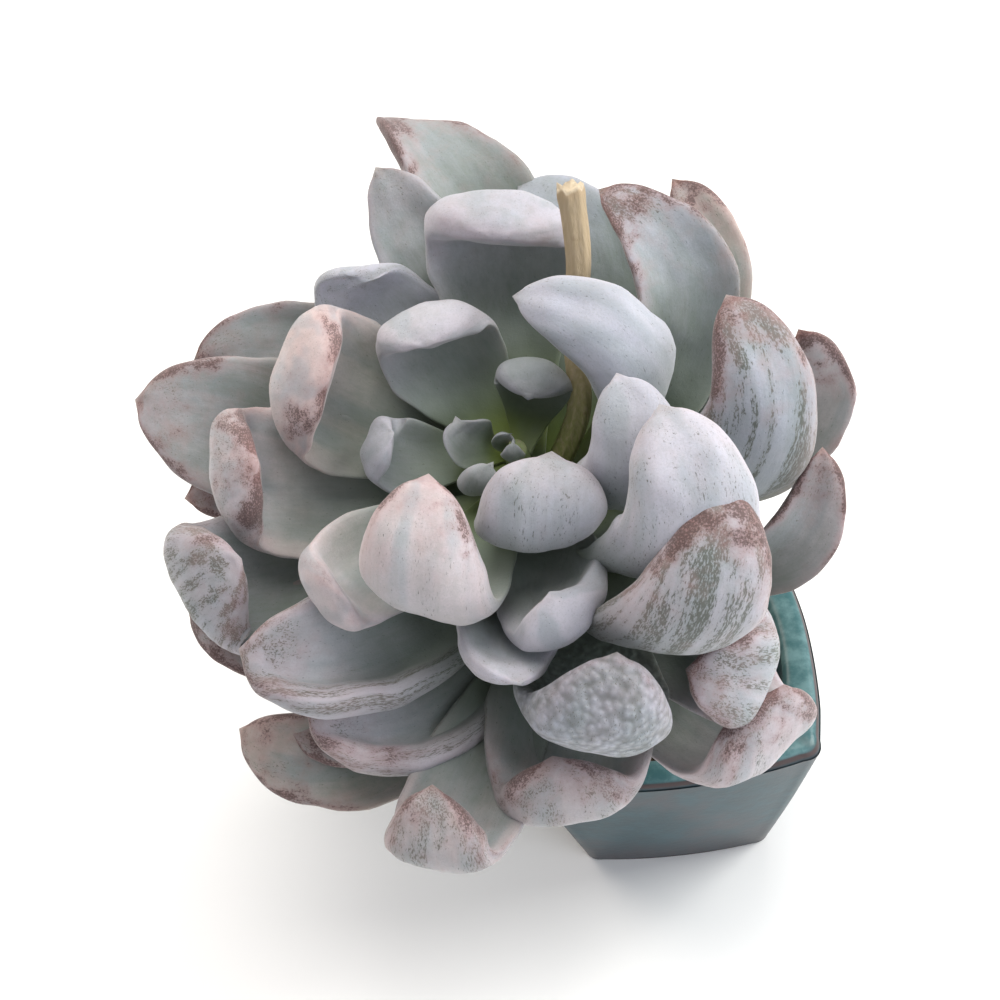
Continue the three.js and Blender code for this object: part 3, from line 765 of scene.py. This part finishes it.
def makeStalk():
    stops = [stemPoint(16) + 3 * viewRight] + [headPoint(p) for p in stalk["path"]]
    line, _ = resampled(smoothProfile(stops, 300), 90)
    angle = np.linspace(0, 2 * math.pi, 40, endpoint=False)[None, :]
    along = np.linspace(0, 1, len(line))[:, None]
    ribbed = 1 - 0.05 * np.cos(stalk["ribs"] * angle + 2 * along)
    radius = stalk["radius"] * ribbed * (0.93 + 0.05 * np.sin(9 * along))
    radius = radius * (1 + 0.1 * np.exp(-((along - 0.97) / 0.03) ** 2))
    rings, _ = sweep(line, radius - 0.1, 40)
    ragged = 0.45 * np.sin(5 * angle + 1) + 0.3 * np.sin(9 * angle)
    run = unit(line[-1] - line[-3])
    rings += run * (np.exp(-((along - 1) / 0.02) ** 2) * (ragged - 0.75))[..., None]
    share = along * np.ones_like(angle)
    return closedSkin("dryFlowerStalk", rings, line[0], line[-1] - 1.6 * run, {"along": (share, 0, 1)})


def stalkStraw():
    f = Finish("dryStraw", Roughness=0.7)
    place, along = f.place(), f.value("along")
    fibres = f.noise(f.scaled(place, (1400.0, 1400.0, 120.0)), 1.0, 5)
    stains = f.noise(place, 240, 4)
    colour = f.blend(along.between(0.15, 0.6), (0.30, 0.31, 0.11, 1), (0.47, 0.36, 0.225, 1))
    colour = f.blend(fibres.between(0.4, 0.75) * 0.5, colour, (0.58, 0.46, 0.32, 1))
    colour = f.blend(stains.between(0.6, 0.75) * 0.5, colour, (0.24, 0.14, 0.07, 1))
    colour = f.blend(along.between(0.94, 0.985) * 0.45, colour, (0.36, 0.25, 0.15, 1))
    colour = f.blend(along.between(0.985, 1.0) * 0.6, colour, (0.66, 0.57, 0.43, 1))
    f.feed("Base Color", colour)
    f.feed("Roughness", 0.6 + stains * 0.2)
    f.relief(fibres, 0.5, 0.0006)
    return f.material


dress(makeStalk(), "dry_stalk", stalkStraw(), "flower_stalk")
print("stalk done")

# the soil: a crumbly crown of dark compost with pale grit on it

soil = {"top": 53.0, "crown": 2.4, "gap": 0.6, "grit": 420}


def innerHalf(z):
    rise = (z - pot["floor"]) / (pot["height"] - 2 - pot["floor"])
    low, high = pot["footHalf"] - pot["wall"], pot["rimHalf"] - pot["lipInset"]
    return low + (high - low) * rise - soil["gap"]


def soilHeight(xy):
    far = np.linalg.norm(xy, axis=-1)
    return soil["top"] + soil["crown"] * (1 - eased(0, 30, far)) - 0.4


def makeSoil():
    low = pot["floor"] + 0.3
    edgeRing = squareRing(innerHalf(soil["top"]) - 0.2, 0.8 * pot["rimBulge"], pot["corner"], soil["top"])
    lowRing = squareRing(innerHalf(low) - 0.2, 0.8 * pot["footBulge"], pot["corner"], low)
    sides = lowRing + (edgeRing - lowRing) * np.linspace(0, 1, 12)[:, None, None]
    shrink = np.linspace(0.985, 0.02, 60)[:, None, None]
    tops = edgeRing * shrink
    bumps = 0.7 * wave(tops * (1, 1, 0), 1.6, 21) + 0.5 * wave(tops * (1, 1, 0), 0.7, 22)
    tops[..., 2] = soilHeight(tops[..., :2]) + bumps - 0.5
    rings = np.concatenate([sides[:-1], tops])
    return closedSkin("compost", rings, (0, 0, low), (0, 0, soil["top"] + 1.5))


def soilCrumb():
    f = Finish("darkCompost", Roughness=0.95)
    place = f.place()
    crumbs = f.noise(place, 900, 6, 0.7)
    bark = f.noise(place, 260, 4)
    colour = f.blend(crumbs.between(0.35, 0.7), (0.018, 0.012, 0.008, 1), (0.09, 0.06, 0.04, 1))
    colour = f.blend(bark.between(0.58, 0.7) * 0.7, colour, (0.16, 0.10, 0.06, 1))
    f.feed("Base Color", colour)
    f.feed("Roughness", 0.85 + crumbs * 0.12)
    f.relief(crumbs, 0.9, 0.0015)
    return f.material


def makeGrit():
    # pebbles: unit balls on a small grid, squashed, turned and dented by the seed, all in one mesh
    draw = np.random.default_rng(7)
    count = soil["grit"]
    spots = draw.uniform(-1, 1, (count, 2)) * (innerHalf(soil["top"]) - 2.5)
    size = draw.uniform(0.5, 1.35, count)
    steps, around = 5, 8
    polar = np.linspace(0.35, math.pi - 0.35, steps)
    angle = np.linspace(0, 2 * math.pi, around, endpoint=False)
    ball = np.stack([np.outer(np.sin(polar), np.cos(angle)), np.outer(np.sin(polar), np.sin(angle)),
                     np.outer(-np.cos(polar), np.ones(around))], -1).reshape(-1, 3)
    ball = np.concatenate([ball, [[0, 0, -1.02], [0, 0, 1.02]]])
    scale = size[:, None] * draw.uniform(0.6, 1.2, (count, 3))
    dents = 1 + 0.16 * draw.normal(size=(count, len(ball), 1)).clip(-1.5, 1.5)
    turn = draw.uniform(0, 2 * math.pi, count)
    shapes = ball[None] * dents * scale[:, None]
    cos, sin = np.cos(turn)[:, None], np.sin(turn)[:, None]
    flat = np.stack([shapes[..., 0] * cos - shapes[..., 1] * sin, shapes[..., 0] * sin + shapes[..., 1] * cos,
                     shapes[..., 2]], -1)
    centre = np.concatenate([spots, (soilHeight(spots) - 0.1)[:, None]], 1)
    points = (flat + centre[:, None]) * millimetre
    index = np.arange(steps * around).reshape(steps, around)
    beside = np.roll(index, -1, 1)
    quads = np.stack([index[:-1], beside[:-1], beside[1:], index[1:]], -1).reshape(-1, 4)
    last = steps * around
    fans = [[beside[0, j], index[0, j], last] for j in range(around)]
    fans += [[index[-1, j], beside[-1, j], last + 1] for j in range(around)]
    faces = []
    for k in range(count):
        faces += (quads + k * len(ball)).tolist() + (np.array(fans) + k * len(ball)).tolist()
    mesh = bpy.data.meshes.new("paleGrit")
    mesh.from_pydata(points.reshape(-1, 3).tolist(), [], faces)
    shade = np.repeat(draw.uniform(0, 1, count), len(ball)).astype(np.float32)
    mesh.attributes.new("shade", "FLOAT", "POINT").data.foreach_set("value", shade)
    mesh.update()
    piece = bpy.data.objects.new("paleGrit", mesh)
    bpy.context.scene.collection.objects.link(piece)
    return piece


def gritStone():
    f = Finish("paleStone", Roughness=0.85)
    place, shade = f.place(), f.value("shade")
    grain = f.noise(place, 1500, 4)
    colour = f.blend(shade.between(0.2, 0.9), (0.20, 0.14, 0.10, 1), (0.52, 0.45, 0.36, 1))
    colour = f.blend(grain.between(0.4, 0.7) * 0.5, colour, (0.30, 0.26, 0.21, 1))
    f.feed("Base Color", colour)
    f.relief(grain, 0.6, 0.0005)
    return f.material


dress(makeSoil(), "soil", soilCrumb(), "soil")
dress(makeGrit(), "soil", gritStone())
print("soil done")

# the studio: a pale floor and sky, a soft lamp above, a key at the right, a warm one behind and a cool one in front


def makeStudio():
    bpy.ops.mesh.primitive_plane_add(size=8, location=(0, 0, 0))
    floor = bpy.context.object
    floor.name = "studioFloor"
    f = Finish("paleFloor", Roughness=0.9)
    grain = f.noise(f.place(), 3, 2)
    f.feed("Base Color", f.blend(grain, (0.93, 0.93, 0.93, 1), (0.95, 0.95, 0.95, 1)))
    floor.data.materials.append(f.material)
    world = bpy.data.worlds.new("whiteRoom")
    bpy.context.scene.world = world
    world.use_nodes = True
    world.node_tree.nodes["Background"].inputs["Color"].default_value = (0.95, 0.97, 1.0, 1)
    world.node_tree.nodes["Background"].inputs["Strength"].default_value = 0.4
    lamps = [  # name, place, aim, size, power, colour
        ("topSoft", (0.0, 0.15, 1.2), (-0.02, 0.0, 0.12), 0.7, 8.0, (1.0, 0.96, 0.9)),
        ("rightKey", (0.85, 0.15, 0.72), (-0.02, 0.0, 0.12), 0.5, 10.0, (1.0, 1.0, 0.96)),
        ("leftBack", (-0.7, 0.7, 0.6), (-0.02, 0.0, 0.12), 0.6, 5.0, (1.0, 0.9, 0.8)),
        ("rightFront", (0.7, -0.7, 0.6), (-0.02, 0.0, 0.12), 0.7, 4.0, (0.85, 0.9, 1.0)),
    ]
    for name, place, aim, size, power, colour in lamps:
        light = bpy.data.lights.new(name, "AREA")
        light.size = size
        light.energy = power
        light.color = colour
        lamp = bpy.data.objects.new(name, light)
        toward = unit(np.array(place) - np.array(aim))
        side = unit(np.cross([0, 0, 1], toward))
        turned = Matrix([list(row) for row in np.stack([side, np.cross(toward, side), toward], 1)]).to_4x4()
        turned.translation = place
        lamp.matrix_world = turned
        bpy.context.scene.collection.objects.link(lamp)
    bpy.context.scene.view_settings.view_transform = "Standard"


makeStudio()
print("studio done")
